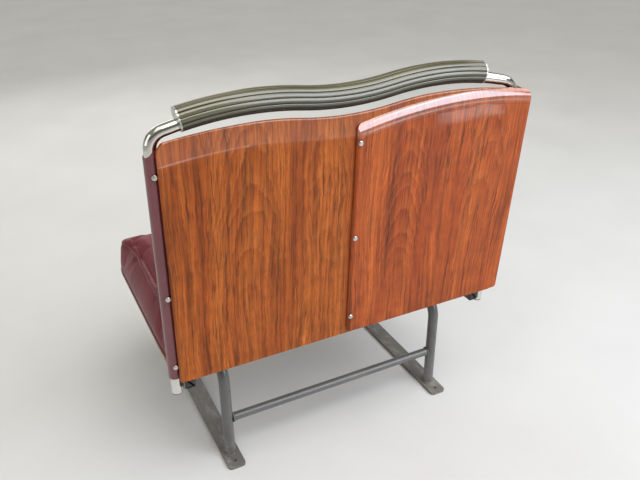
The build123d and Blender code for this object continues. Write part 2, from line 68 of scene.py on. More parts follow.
# --------------------------------------------------------------------------
# Short forms for building node trees
# --------------------------------------------------------------------------
class Tree:
    def __init__(self, name):
        self.mat = bpy.data.materials.new(name)
        self.mat.use_nodes = True
        self.nt = self.mat.node_tree
        self.nt.nodes.clear()
        self.out = self.nt.nodes.new("ShaderNodeOutputMaterial")
        self.bsdf = self.nt.nodes.new("ShaderNodeBsdfPrincipled")
        self.nt.links.new(self.bsdf.outputs[0], self.out.inputs["Surface"])

    def node(self, kind, **props):
        n = self.nt.nodes.new("ShaderNode" + kind)
        for k, v in props.items():
            setattr(n, k, v)
        return n

    def put(self, socket, value):
        if isinstance(value, bpy.types.NodeSocket):
            self.nt.links.new(value, socket)
        elif hasattr(socket.default_value, "__len__") and not hasattr(value, "__len__"):
            socket.default_value = (value,) * len(socket.default_value)
        elif hasattr(value, "__len__") and len(value) == 3 and len(socket.default_value) == 4:
            socket.default_value = (*value, 1.0)
        else:
            socket.default_value = value

    def set(self, **values):
        for k, v in values.items():
            self.put(self.bsdf.inputs[k.replace("_", " ")], v)

    def math(self, op, a, b=0.0, c=0.0, clamp=False):
        n = self.node("Math", operation=op, use_clamp=clamp)
        for s, v in zip(n.inputs, (a, b, c)):
            self.put(s, v)
        return n.outputs[0]

    def add(self, a, b):
        return self.math("ADD", a, b)

    def sub(self, a, b):
        return self.math("SUBTRACT", a, b)

    def mul(self, a, b):
        return self.math("MULTIPLY", a, b)

    def place(self):
        return self.node("TexCoord").outputs["Object"]

    def xyz(self, vec):
        n = self.node("SeparateXYZ")
        self.put(n.inputs[0], vec)
        return n.outputs

    def vec(self, x, y, z):
        n = self.node("CombineXYZ")
        for s, v in zip(n.inputs, (x, y, z)):
            self.put(s, v)
        return n.outputs[0]

    def scaled(self, vec, scale, shift=(0, 0, 0)):
        n = self.node("VectorMath", operation="MULTIPLY_ADD")
        self.put(n.inputs[0], vec)
        self.put(n.inputs[1], scale)
        self.put(n.inputs[2], shift)
        return n.outputs[0]

    def noise(self, vec, scale=1.0, detail=3.0, rough=0.55, distort=0.0, colour=False):
        n = self.node("TexNoise")
        self.put(n.inputs["Vector"], vec)
        self.put(n.inputs["Scale"], scale)
        self.put(n.inputs["Detail"], detail)
        self.put(n.inputs["Roughness"], rough)
        self.put(n.inputs["Distortion"], distort)
        return n.outputs["Color" if colour else "Fac"]

    def voronoi(self, vec, scale, feature="F1", smooth=None, out="Distance"):
        n = self.node("TexVoronoi", feature=feature)
        self.put(n.inputs["Vector"], vec)
        self.put(n.inputs["Scale"], scale)
        if smooth is not None:
            self.put(n.inputs["Smoothness"], smooth)
        return n.outputs[out]

    def ramp(self, fac, stops, interp="LINEAR"):
        n = self.node("ValToRGB")
        n.color_ramp.interpolation = interp
        els = n.color_ramp.elements
        while len(els) < len(stops):
            els.new(0.5)
        for e, (pos, col) in zip(els, stops):
            e.position = pos
            e.color = (*col, 1.0) if hasattr(col, "__len__") else (col, col, col, 1.0)
        self.put(n.inputs[0], fac)
        return n.outputs[0]

    def band(self, fac, lo, hi, out_lo=0.0, out_hi=1.0):
        n = self.node("MapRange", clamp=True, interpolation_type="SMOOTHSTEP")
        for s, v in zip(n.inputs, (fac, lo, hi, out_lo, out_hi)):
            self.put(s, v)
        return n.outputs[0]

    def line(self, fac, centre, half):
        """1 on a line where fac = centre, falling to 0 at half on both sides."""
        away = self.math("ABSOLUTE", self.sub(fac, centre))
        return self.band(away, 0.0, half, 1.0, 0.0)

    def mix(self, fac, a, b, blend="MIX"):
        n = self.node("Mix", data_type="RGBA", blend_type=blend)
        self.put(n.inputs["Factor"], fac)
        ins = [s for s in n.inputs if s.type == "RGBA"]
        self.put(ins[0], a)
        self.put(ins[1], b)
        return [s for s in n.outputs if s.type == "RGBA"][0]

    def bump(self, height, strength, distance, normal=None):
        n = self.node("Bump")
        self.put(n.inputs["Strength"], strength)
        self.put(n.inputs["Distance"], distance)
        self.put(n.inputs["Height"], height)
        if normal is not None:
            self.put(n.inputs["Normal"], normal)
        return n.outputs["Normal"]

    def back_uvw(self):
        """u, v and w of the back at the shaded point."""
        x, y, z = self.xyz(self.place())
        y = self.sub(y, BACK_Y0)
        u = self.mul(x, -1.0)
        v = self.add(self.mul(y, SR), self.mul(z, CR))
        w = self.sub(self.mul(y, CR), self.mul(z, SR))
        return u, v, w


# --------------------------------------------------------------------------
# Materials
# --------------------------------------------------------------------------
def veneer(name, shift, figures, top, lines=(), red=0.0, crease=0.0, gloss=(1.5, 0.05, 0.4), cloud=None, wrap=None):
    """Red-brown veneer with upright grain under gloss lacquer.  figures: where
    the arched figure of flat-sawn wood stands, as (u, v, rings, reach, fade).
    top: the distance under the upper edge, as a function of the tree, u and v.
    lines: fine grooves that follow that edge, as (distance, half width, depth),
    each also darkened in colour as painted shade.
    red: how far the tone goes to red.  crease: distance of the painted highlight
    line where the upper band bends forward.  gloss: how glassy the lacquer is,
    over what distance under the upper edge it is full, and how much is left lower down.
    cloud: from where to where, along u, it is polished below that edge too.
    wrap: the u of the inner and outer edges that the sheet is bent round, and
    the w of its flat."""
    t = Tree(name)
    u, v, w = t.back_uvw()
    s = u
    if wrap:
        inner, outer, flat = wrap
        turned = t.sub(flat, w)
        s = t.add(s, t.mul(turned, t.band(u, outer, outer + 0.015)))
        s = t.sub(s, t.mul(turned, t.band(u, inner, inner + 0.012, 1.0, 0.0)))
    p = t.vec(t.add(s, shift), t.add(v, shift * 0.7), w)

    wander = t.noise(t.scaled(p, (4.6, 1.5, 1.0)), 1.0, 3.0, 0.5)
    flame = t.noise(t.scaled(p, (34.0, 30.0, 1.0), (3, 8, 0)), 1.0, 4.0, 0.6)
    # long bent streaks from a hand's breadth to a hair's breadth
    bent = t.add(s, t.mul(t.sub(wander, 0.5), 0.060))
    bent = t.add(bent, t.mul(t.sub(flame, 0.5), 0.0070))
    q = t.vec(t.add(bent, shift), v, 0.0)
    wide = t.noise(t.scaled(q, (19.0, 0.9, 1.0)), 1.0, 3.0, 0.55)
    streak = t.noise(t.scaled(q, (88.0, 2.2, 1.0)), 1.0, 5.0, 0.66)
    thin = t.noise(t.scaled(q, (250.0, 4.5, 1.0), (5, 1, 0)), 1.0, 3.0, 0.6)
    fine = t.noise(t.scaled(q, (620.0, 10.0, 1.0)), 1.0, 3.0, 0.6)
    pore = t.noise(t.scaled(q, (1150.0, 38.0, 1.0)), 1.0, 2.0, 0.5)

    base = t.ramp(wide, [
        (0.24, (0.266, 0.047, 0.0072)),
        (0.42, (0.374, 0.081, 0.0120)),
        (0.58, (0.472, 0.117, 0.0175)),
        (0.80, (0.560, 0.155, 0.0255)),
    ])
    base = t.mix(red, base, t.mix(1.0, base, (1.08, 0.90, 0.98), "MULTIPLY"))
    col = t.mix(0.95, base, t.ramp(streak, [(0.32, 0.34), (0.43, 0.72), (0.54, 1.0), (0.78, 1.24)]), "MULTIPLY")
    col = t.mix(0.80, col, t.ramp(thin, [(0.34, 0.52), (0.47, 0.90), (0.60, 1.05), (0.78, 1.20)]), "MULTIPLY")
    col = t.mix(0.55, col, t.ramp(fine, [(0.25, 0.55), (0.55, 1.0), (0.80, 1.18)]), "MULTIPLY")
    # the silk of the wood: broken light and dark patches across the grain
    col = t.mix(0.60, col, t.ramp(flame, [(0.30, 0.74), (0.50, 1.0), (0.72, 1.22)]), "MULTIPLY")

    # arched figure: nested parabolas, each ending in a dark line of late wood
    for fu, fv, rings, reach, fade in figures:
        du = t.sub(bent, fu)
        near = t.band(t.math("ABSOLUTE", du), reach * 0.35, reach, 1.0, 0.0)
        near = t.mul(near, t.band(v, 0.44, 0.68, 0.15, 1.0))
        arch = t.add(t.sub(v, fv), t.mul(t.mul(du, du), 38.0))
        slow = t.noise(t.scaled(p, (1.5, 5.5, 1.0), (2, 6, 0)), 1.0, 2.0, 0.5)
        phase = t.add(t.mul(arch, rings), t.add(t.mul(wander, 3.4), t.mul(slow, 3.0)))
        phase = t.add(phase, t.mul(t.sub(flame, 0.5), 0.9))
        phase = t.add(phase, t.mul(t.sub(thin, 0.5), 0.5))
        ring = t.math("FRACT", phase)
        late = t.mul(t.band(ring, 0.45, 0.93, 0.0, 1.0), t.band(ring, 0.95, 1.0, 1.0, 0.0))
        patchy = t.noise(t.scaled(p, (5.0, 4.0, 1.0), (7, 3, 0)), 1.0, 3.0)
        strength = t.mul(t.mul(near, late), t.band(patchy, 0.36, 0.62, fade * 0.12, fade))
        col = t.mix(strength, col, t.mix(1.0, col, (0.42, 0.27, 0.20), "MULTIPLY"))
        col = t.mix(t.mul(near, t.band(ring, 0.0, 0.4, 0.14, 0.0)), col, (0.58, 0.21, 0.050))

    # a few near-black lines and the open pores
    vein = t.line(t.noise(t.scaled(q, (40.0, 0.8, 1.0), (3.3, 1.7, 0)), 1.0, 2.0, 0.5), 0.60, 0.010)
    hair = t.line(t.noise(t.scaled(q, (130.0, 1.6, 1.0), (9.1, 4.7, 0)), 1.0, 2.0, 0.5), 0.58, 0.016)
    col = t.mix(t.mul(vein, 0.60), col, (0.075, 0.014, 0.004))
    col = t.mix(t.mul(hair, 0.42), col, (0.110, 0.022, 0.006))
    dash = t.noise(t.scaled(q, (310.0, 15.0, 1.0), (2, 7, 0)), 1.0, 2.0, 0.5)
    zone = t.noise(t.scaled(p, (8.0, 3.0, 1.0), (4, 1, 0)), 1.0, 3.0)
    dash = t.mul(t.band(dash, 0.35, 0.45, 1.0, 0.0), t.band(zone, 0.35, 0.65, 0.35, 1.0))
    col = t.mix(t.mul(dash, 0.72), col, (0.095, 0.018, 0.004))
    open_pore = t.band(pore, 0.33, 0.40, 1.0, 0.0)
    col = t.mix(t.mul(open_pore, 0.45), col, (0.090, 0.020, 0.006))

    height = t.add(t.mul(fine, 0.25), t.mul(open_pore, -0.8))
    under = top(t, u, v)
    if crease:
        # a pale line painted along the crease: a painted highlight, broken up by gap
        painted_glint = t.mul(t.line(under, crease, 0.0032), t.band(u, -0.30, -0.16, 1.0, 0.15))
        gap = t.noise(t.scaled(p, (16.0, 5.0, 1.0)), 1.0, 3.0, 0.6)
        col = t.mix(t.mul(painted_glint, t.band(gap, 0.40, 0.66, 0.08, 0.32)), col, (0.70, 0.42, 0.34))
    for drop, half, deep in lines:
        groove = t.line(under, drop, half)
        height = t.add(height, t.mul(groove, -deep))
        # the groove's colour is darkened as painted shade
        col = t.mix(t.mul(groove, 0.60), col, (0.080, 0.018, 0.006))
    # hands have polished the upper band and rubbed the lacquer thin below it
    rub = t.noise(t.scaled(p, (9.0, 7.0, 9.0), (11, 5, 2)), 1.0, 4.0, 0.6)
    t.set(Base_Color=col, Roughness=t.band(rub, 0.3, 0.75, 0.40, 0.56), Specular_IOR_Level=0.08, IOR=1.45)
    ior, full, left = gloss
    coat = t.band(under, full, full + 0.012, 1.0, left)
    coat = t.mul(coat, t.band(rub, 0.3, 0.7, 0.92, 1.08))
    if cloud:
        puff = t.noise(t.scaled(p, (11.0, 30.0, 11.0), (1, 8, 4)), 1.0, 3.0, 0.55)
        reach = t.add(under, t.mul(t.sub(puff, 0.5), 0.030))
        mist = t.mul(t.band(reach, 0.030, 0.036), t.band(reach, 0.046, 0.066, 1.0, 0.0))
        edge = t.add(u, t.mul(t.sub(puff, 0.5), 0.12))
        mist = t.mul(mist, t.mul(t.band(edge, cloud[0], cloud[0] + 0.07), t.band(edge, cloud[1] - 0.07, cloud[1], 1.0, 0.0)))
        coat = t.add(coat, t.mul(mist, 0.60))
    t.set(Coat_Weight=t.math("MINIMUM", coat, 1.0), Coat_Roughness=0.10, Coat_IOR=ior)
    t.set(Normal=t.bump(height, 0.20, 0.0004))
    peel = t.noise(t.scaled(p, (17.0, 12.0, 17.0)), 1.0, 3.0, 0.5)
    t.set(Coat_Normal=t.bump(t.add(peel, t.mul(open_pore, -0.02)), 0.10, 0.006))
    return t.mat


def under_shell(t, u, v):
    du, dv = t.sub(u, SHELL_C[0]), t.sub(v, SHELL_C[1])
    return t.sub(SHELL_R, t.math("SQRT", t.add(t.mul(du, du), t.mul(dv, dv))))


def under_panel(t, u, v):
    """The panel's crown falls in an arc to the upright, in a wave inwards."""
    du = t.sub(u, -0.241)
    outer = t.mul(t.mul(du, du), 0.5 / 1.3)
    inner = t.mul(t.sub(1.0, t.math("COSINE", t.mul(du, pi / 0.214))), 0.00825)
    inside = t.math("GREATER_THAN", du, 0.0)
    fall = t.add(t.mul(inside, inner), t.mul(t.sub(1.0, inside), outer))
    return t.sub(t.sub(0.9225, fall), v)


def leatherette(name, tint=1.0, grain=1.0, shine=0.0):
    t = Tree(name)
    p = t.place()
    cells = t.voronoi(t.scaled(p, (1.0, 1.0, 1.0)), 620.0 / grain, "SMOOTH_F1", 0.35)
    creases = t.voronoi(t.scaled(p, (1.0, 1.0, 1.0)), 300.0 / grain, "DISTANCE_TO_EDGE")
    crease = t.band(creases, 0.0, 0.09, 0.0, 1.0)
    cloud = t.noise(p, 7.0, 4.0, 0.6)
    fleck = t.noise(p, 260.0, 3.0, 0.6)
    col = t.ramp(cloud, [
        (0.25, (0.125 * tint, 0.012 * tint, 0.021 * tint)),
        (0.50, (0.172 * tint, 0.018 * tint, 0.029 * tint)),
        (0.78, (0.225 * tint, 0.027 * tint, 0.039 * tint)),
    ])
    # the grain's creases are painted darker, as painted shade
    col = t.mix(t.mul(t.sub(1.0, crease), 0.45), col, (0.060, 0.006, 0.010))
    col = t.mix(t.band(fleck, 0.55, 0.8, 0.0, 0.25), col, (0.28, 0.045, 0.06))
    worn = t.noise(t.scaled(p, (1, 1, 1), (4, 9, 2)), 3.2, 3.0, 0.55)
    t.set(Base_Color=col, Roughness=t.band(worn, 0.3, 0.7, 0.34, 0.50))
    t.set(Specular_IOR_Level=0.45, Sheen_Weight=0.04, Sheen_Roughness=0.4)
    t.set(Coat_Weight=shine, Coat_Roughness=0.22, Coat_IOR=1.6)
    height = t.add(t.mul(cells, 0.6), t.mul(crease, 0.7))
    n = t.bump(height, 0.42, 0.0005)
    n = t.bump(t.noise(p, 34.0, 3.0, 0.55), 0.12, 0.004, n)
    t.set(Normal=n)
    return t.mat


def chrome(name):
    t = Tree(name)
    p = t.place()
    smear = t.noise(t.scaled(p, (14.0, 40.0, 30.0)), 1.0, 4.0, 0.6)
    pits = t.noise(p, 900.0, 2.0, 0.5)
    spots = t.band(pits, 0.72, 0.80, 0.0, 1.0)
    col = t.ramp(smear, [(0.25, (0.60, 0.59, 0.545)), (0.75, (0.74, 0.73, 0.69))])
    col = t.mix(t.mul(spots, 0.5), col, (0.30, 0.27, 0.22))
    t.set(Base_Color=col, Metallic=1.0)
    t.set(Roughness=t.add(t.band(smear, 0.35, 0.8, 0.045, 0.13), t.mul(spots, 0.2)))
    t.set(Normal=t.bump(t.add(t.mul(smear, 0.3), t.mul(pits, 0.05)), 0.05, 0.0015))
    return t.mat


def grip(name):
    """Olive-grey ribbed plastic, with painted shade in its grooves and on its underside."""
    t = Tree(name)
    p = t.place()
    ao = t.node("AmbientOcclusion", samples=8, only_local=True)
    ao.inputs["Distance"].default_value = 0.005
    # ambient occlusion finds the grooves, whose colour is then darkened as painted shade
    groove = t.band(ao.outputs["AO"], 0.50, 0.97, 1.0, 0.0)
    cloud = t.noise(t.scaled(p, (5.0, 26.0, 26.0)), 1.0, 4.0, 0.6)
    speck = t.noise(p, 420.0, 3.0, 0.6)
    col = t.ramp(cloud, [
        (0.25, (0.076, 0.068, 0.030)),
        (0.50, (0.100, 0.090, 0.042)),
        (0.78, (0.132, 0.120, 0.060)),
    ])
    col = t.mix(0.5, col, t.ramp(speck, [(0.3, 0.82), (0.6, 1.0), (0.85, 1.12)]), "MULTIPLY")
    # painted shade in the grooves
    col = t.mix(t.mul(groove, 0.9), col, (0.012, 0.011, 0.008))
    # the downward-facing side is painted dark: painted shade picked by the surface's facing
    below = t.band(t.xyz(t.node("NewGeometry").outputs["Normal"])[2], -0.60, 0.18, 1.0, 0.0)
    col = t.mix(t.mul(below, 0.88), col, (0.010, 0.009, 0.007))
    t.set(Base_Color=col, Roughness=t.add(t.band(cloud, 0.3, 0.75, 0.25, 0.36), t.mul(groove, 0.3)))
    dull = t.math("MAXIMUM", groove, t.mul(below, 0.85))
    t.set(Specular_IOR_Level=0.30)
    t.set(Coat_Weight=t.band(dull, 0.0, 1.0, 0.72, 0.0), Coat_Roughness=0.15, Coat_IOR=1.85)
    drawn = t.noise(t.scaled(p, (12.0, 900.0, 900.0)), 1.0, 2.0, 0.5)
    n = t.bump(drawn, 0.10, 0.0003)
    t.set(Normal=t.bump(speck, 0.10, 0.0004, n))
    return t.mat


def satin_metal(name, light, dark, rough=(0.24, 0.42)):
    t = Tree(name)
    p = t.place()
    brushed = t.noise(t.scaled(p, (1400.0, 120.0, 1400.0)), 1.0, 3.0, 0.6)
    cloud = t.noise(p, 60.0, 3.0, 0.55)
    col = t.mix(t.band(cloud, 0.35, 0.75), light, dark)
    t.set(Base_Color=col, Metallic=1.0)
    t.set(Roughness=t.band(t.add(t.mul(brushed, 0.5), t.mul(cloud, 0.5)), 0.3, 0.7, *rough))
    t.set(Normal=t.bump(brushed, 0.12, 0.0002))
    return t.mat


def enamel(name):
    """Grey stoving enamel on steel, rubbed near the floor."""
    t = Tree(name)
    p = t.place()
    z = t.xyz(p)[2]
    cloud = t.noise(p, 9.0, 4.0, 0.6)
    col = t.ramp(cloud, [
        (0.25, (0.088, 0.086, 0.081)),
        (0.55, (0.118, 0.116, 0.109)),
        (0.80, (0.142, 0.139, 0.130)),
    ])
    low = t.band(z, 0.0, 0.10, 1.0, 0.0)
    scuff = t.noise(t.scaled(p, (60.0, 22.0, 90.0)), 1.0, 5.0, 0.7)
    scuffed = t.mul(low, t.band(scuff, 0.50, 0.62))
    dust = t.mul(low, t.band(cloud, 0.3, 0.7, 0.15, 0.55))
    col = t.mix(dust, col, (0.21, 0.19, 0.16))
    col = t.mix(t.mul(scuffed, 0.55), col, (0.30, 0.285, 0.27))
    chip = t.band(t.noise(p, 210.0, 2.0, 0.5), 0.70, 0.735)
    col = t.mix(t.mul(chip, 0.7), col, (0.034, 0.028, 0.024))
    t.set(Base_Color=col)
    t.set(Roughness=t.add(t.band(cloud, 0.3, 0.7, 0.27, 0.38), t.mul(low, 0.18)))
    t.set(Coat_Weight=0.25, Coat_Roughness=0.2)
    peel = t.noise(p, 170.0, 2.0, 0.5)
    t.set(Normal=t.bump(t.add(peel, t.mul(chip, -0.6)), 0.10, 0.0009))
    return t.mat


def plywood(name, plies):
    """Birch plywood; plies: the direction its layers are stacked in."""
    t = Tree(name)
    p = t.place()
    grain = t.noise(t.scaled(p, (9.0, 120.0, 120.0)), 1.0, 4.0, 0.6)
    wave = t.noise(t.scaled(p, (4.0, 14.0, 14.0)), 1.0, 3.0, 0.5)
    col = t.ramp(grain, [
        (0.28, (0.300, 0.190, 0.098)),
        (0.52, (0.430, 0.290, 0.160)),
        (0.76, (0.520, 0.370, 0.215)),
    ])
    dot = t.node("VectorMath", operation="DOT_PRODUCT")
    t.put(dot.inputs[0], p)
    t.put(dot.inputs[1], plies)
    layer = t.math("FRACT", t.mul(dot.outputs["Value"], 1 / 0.0034))
    seam = t.line(layer, 0.5, 0.10)
    geo = t.node("NewGeometry")
    face = t.node("VectorMath", operation="DOT_PRODUCT")
    t.put(face.inputs[0], geo.outputs["True Normal"])
    t.put(face.inputs[1], plies)
    edge = t.band(t.math("ABSOLUTE", face.outputs["Value"]), 0.4, 0.8, 1.0, 0.0)
    col = t.mix(t.mul(edge, t.mul(seam, 0.65)), col, (0.16, 0.085, 0.038))
    col = t.mix(t.mul(edge, t.band(layer, 0.45, 0.55, 0.0, 0.22)), col, (0.26, 0.15, 0.07))
    col = t.mix(t.band(wave, 0.55, 0.8, 0.0, 0.35), col, (0.34, 0.21, 0.11))
    t.set(Base_Color=col, Roughness=t.band(grain, 0.3, 0.7, 0.52, 0.70))
    t.set(Normal=t.bump(grain, 0.22, 0.0005))
    return t.mat


def rubber(name):
    t = Tree(name)
    p = t.place()
    speck = t.noise(p, 500.0, 3.0, 0.6)
    cloud = t.noise(p, 40.0, 3.0, 0.5)
    t.set(Base_Color=t.ramp(cloud, [(0.3, (0.018, 0.018, 0.017)), (0.7, (0.036, 0.035, 0.033))]))
    t.set(Roughness=t.band(cloud, 0.3, 0.7, 0.45, 0.62))
    t.set(Normal=t.bump(speck, 0.25, 0.0003))
    return t.mat


MAT = {
    "wood": veneer(
        "veneer_main", 0.0, [(-0.250, 0.90, 17.0, 0.15, 0.42), (-0.085, 0.72, 13.0, 0.08, 0.30)], under_panel,
        crease=0.044, gloss=(1.62, 0.040, 0.22),
    ),
    "shell": veneer(
        "veneer_shell", 1.37, [(0.125, 0.84, 20.0, 0.10, 0.52), (0.330, 0.70, 14.0, 0.09, 0.32)], under_shell,
        lines=[(0.0225, 0.0010, 1.6), (0.0320, 0.0009, 1.0)], red=1.0, gloss=(2.30, 0.019, 0.13), cloud=(0.15, 0.40),
        wrap=(0.006, 0.405, 0.0363),
    ),
    "chrome": chrome("chrome"),
    "grip": grip("ribbed_grip"),
    "cap": satin_metal("grip_cap_metal", (0.60, 0.59, 0.55), (0.42, 0.41, 0.38)),
    "leather": leatherette("wine_leatherette"),
    "cover": leatherette("wine_cover", 0.9, 0.8, 0.8),
    "piping": leatherette("wine_piping", 0.80, 0.6),
    "steel": enamel("grey_enamel"),
    "screw": satin_metal("screw_steel", (0.60, 0.57, 0.54), (0.36, 0.34, 0.32), (0.12, 0.26)),
    "ply_level": plywood("plywood_level", (0, 0, 1)),
    "ply_back": plywood("plywood_back", (0, CR, -SR)),
    "rubber": rubber("black_rubber"),
}

BY_NODE = {
    "grab_rail_frame_tube": "chrome",
    "grip_pad": "grip",
    "grip_end_cap_aisle": "cap",
    "grip_end_cap_window": "cap",
    "upright_cover_aisle": "cover",
    "upright_cover_window": "cover",
    "wood_back_panel": "wood",
    "window_side_back_shell": "shell",
    "backrest_core_board": "ply_back",
    "back_cushion_aisle": "leather",
    "back_cushion_window": "leather",
    "seat_cushion_aisle": "leather",
    "seat_cushion_window": "leather",
    "seat_pan_board": "ply_level",
    "seat_side_rail_aisle": "steel",
    "seat_side_rail_window": "steel",
    "seat_cross_rail_front": "steel",
    "seat_cross_rail_rear": "steel",
    "upright_bracket_aisle": "steel",
    "upright_bracket_window": "steel",
    "leg_frame_aisle": "steel",
    "leg_frame_window": "steel",
    "foot_rail_aisle": "steel",
    "foot_rail_window": "steel",
    "rear_leg_stretcher": "steel",
    "leg_bearer_front": "steel",
    "leg_bearer_rear": "steel",
    "leg_clamp_aisle_front": "steel",
    "leg_clamp_aisle_rear": "steel",
    "leg_clamp_window_front": "steel",
    "leg_clamp_window_rear": "steel",
    "cover_screws_aisle": "screw",
    "shell_screws_inner": "screw",
}
for name, key in BY_NODE.items():
    node = NODES[name]
    node.data.materials.clear()
    node.data.materials.append(MAT[key])


# --------------------------------------------------------------------------
# Building pieces from code
# --------------------------------------------------------------------------
def outward(me):
    """Turns a closed mesh's faces outwards."""
    me.calc_loop_triangles()
    tri = np.empty(len(me.loop_triangles) * 3, dtype=np.int64)
    me.loop_triangles.foreach_get("vertices", tri)
    corner = coords(me)[tri].reshape(-1, 3, 3)
    corner = corner - corner.mean(axis=(0, 1))
    volume = np.einsum("ij,ij->", corner[:, 0], np.cross(corner[:, 1], corner[:, 2]))
    if volume < 0:
        me.flip_normals()
        me.update()


def mesh_object(name, verts, faces, mat=None, smooth=True):
    me = bpy.data.meshes.new(name)
    me.from_pydata([tuple(v) for v in verts], [], faces)
    me.update()
    if len(faces) > 1:
        outward(me)
    ob = bpy.data.objects.new(name, me)
    SCENE.collection.objects.link(ob)
    if mat:
        me.materials.append(mat)
    if smooth:
        me.polygons.foreach_set("use_smooth", [True] * len(me.polygons))
    return ob


def fixed(ob):
    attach(ob, "root")
    return ob


def with_modifiers(ob):
    """A new mesh with ob's modifiers applied."""
    dg = bpy.context.evaluated_depsgraph_get()
    return bpy.data.meshes.new_from_object(ob.evaluated_get(dg), depsgraph=dg)


def coords(me):
    a = np.empty(len(me.vertices) * 3)
    me.vertices.foreach_get("co", a)
    return a.reshape(-1, 3)


def set_coords(me, a):
    me.vertices.foreach_set("co", a.reshape(-1))
    me.update()


def normals(me):
    a = np.empty(len(me.vertices) * 3)
    me.vertex_normals.foreach_get("vector", a)
    return a.reshape(-1, 3)


def smoothed(me, steps, factor=0.5):
    """Relaxes a mesh towards the mean of its neighbours."""
    e = np.empty(len(me.edges) * 2, dtype=np.int64)
    me.edges.foreach_get("vertices", e)
    e = e.reshape(-1, 2)
    p = coords(me)
    count = np.bincount(e.ravel(), minlength=len(p)).astype(float)[:, None]
    for _ in range(steps):
        total = np.zeros_like(p)
        np.add.at(total, e[:, 0], p[e[:, 1]])
        np.add.at(total, e[:, 1], p[e[:, 0]])
        p += factor * (total / count - p)
    set_coords(me, p)


def step(x, lo, hi):
    t = np.clip((x - lo) / (hi - lo), 0.0, 1.0)
    return t * t * (3 - 2 * t)


def round_rect(a0, a1, b0, b1, r, spacing=0.02, per_corner=7):
    """Points round a rounded rectangle, and the outward direction at each."""
    pts = []
    corners = [(a1 - r, b0 + r, -90), (a1 - r, b1 - r, 0), (a0 + r, b1 - r, 90), (a0 + r, b0 + r, 180)]
    for k, (ca, cb, start) in enumerate(corners):
        for i in range(per_corner + 1):
            g = radians(start + 90 * i / per_corner)
            pts.append((ca + r * cos(g), cb + r * sin(g), cos(g), sin(g)))
        na, nb, ns = corners[(k + 1) % 4]
        g = radians(ns)
        end = (na + r * cos(g), nb + r * sin(g))
        last = pts[-1]
        n = max(1, int(hypot(end[0] - last[0], end[1] - last[1]) / spacing))
        for i in range(1, n):
            f = i / n
            pts.append((last[0] + (end[0] - last[0]) * f, last[1] + (end[1] - last[1]) * f, cos(g), sin(g)))
    return pts


def ring_solid(rings, verts=None, faces=None):
    """Closed solid from rings of equal length, first and last ring capped."""
    verts = [] if verts is None else verts
    faces = [] if faces is None else faces
    base, n = len(verts), len(rings[0])
    for ring in rings:
        verts.extend(ring)
    for k in range(len(rings) - 1):
        for i in range(n):
            j = (i + 1) % n
            faces.append((base + k * n + i, base + k * n + j, base + (k + 1) * n + j, base + (k + 1) * n + i))
    faces.append(tuple(base + i for i in reversed(range(n))))
    faces.append(tuple(base + (len(rings) - 1) * n + i for i in range(n)))
    return verts, faces


def pillow_rings(a0, a1, b0, b1, c0, top, r_plan, r_edge, tight):
    """Rings of a soft slab: plan corners of r_plan, upper edge of r_edge; its
    bottom is flat at c0 and its top stands at top(b).  tight: the side, -1 or
    1 along b, that meets the other cushion and is rounded less."""
    out = round_rect(a0, a1, b0, b1, r_plan)
    ca, cb = (a0 + a1) / 2, (b0 + b1) / 2
    rings = []
    low = 0.008
    for g in (0, 30, 60, 90):
        inset = low * (1 - sin(radians(g)))
        rise = low * (1 - cos(radians(g)))
        rings.append([(a - na * inset, b - nb * inset, c0 + rise) for a, b, na, nb in out])
    for g in (0, 18, 36, 54, 72, 90):
        ring = []
        for a, b, na, nb in out:
            r = r_edge * (1 - 0.55 * max(0.0, nb * tight) ** 2)
            inset = r * (1 - cos(radians(g)))
            drop = r * (1 - sin(radians(g)))
            ring.append((a - na * inset, b - nb * inset, top(b - nb * inset) - drop))
        rings.append(ring)
    inner = rings[-1]
    for s in (0.85, 0.65, 0.45, 0.25, 0.05):
        rings.append([(ca + (a - ca) * s, cb + (b - cb) * s, top(cb + (b - cb) * s)) for a, b, _ in inner])
    return rings


def inflate(name, verts, faces, rest, cap, pressure, voxel=0.006):
    """Remeshes the closed shape, swells it as a sewn cover does, holding the
    points below rest, and returns its mesh.  No point moves more than cap."""
    ob = mesh_object(name + "_work", verts, faces)
    mod = ob.modifiers.new("remesh", "REMESH")
    mod.mode = "VOXEL"
    mod.voxel_size = voxel
    me = with_modifiers(ob)
    bpy.data.objects.remove(ob)
    smoothed(me, 5)
    start = coords(me)
    ob = bpy.data.objects.new(name + "_sim", me)
    SCENE.collection.objects.link(ob)
    pin = ob.vertex_groups.new(name="pin")
    pin.add([int(i) for i in np.nonzero(start[:, 2] < rest)[0]], 1.0, "REPLACE")
    mod = ob.modifiers.new("cloth", "CLOTH")
    st = mod.settings
    st.quality = 4
    st.mass = 0.25
    st.tension_stiffness = st.compression_stiffness = 14.0
    st.shear_stiffness = 6.0
    st.bending_stiffness = 0.5
    st.use_pressure = True
    st.uniform_pressure_force = pressure
    st.effector_weights.gravity = 0.0
    st.vertex_group_mass = "pin"
    mod.collision_settings.use_collision = False
    mod.collision_settings.use_self_collision = False
    mod.point_cache.frame_start, mod.point_cache.frame_end = 1, 20
    for f in range(1, 21):
        SCENE.frame_set(f)
    swollen = with_modifiers(ob)
    SCENE.frame_set(1)
    bpy.data.objects.remove(ob)
    p = coords(swollen)
    move = p - start
    length = np.linalg.norm(move, axis=1, keepdims=True)
    print(name, "verts", len(p), "largest move", round(float(length.max()), 4), "mean", round(float(length.mean()), 4))
    p = start + move * np.minimum(1.0, cap / np.maximum(length, 1e-9))
    set_coords(swollen, p)
    smoothed(swollen, 2)
    return swollen


def divided(me):
    """The mesh, divided once and smoothed."""
    ob = bpy.data.objects.new("divide", me)
    SCENE.collection.objects.link(ob)
    mod = ob.modifiers.new("fine", "SUBSURF")
    mod.levels = mod.render_levels = 1
    fine = with_modifiers(ob)
    bpy.data.objects.remove(ob)
    return fine


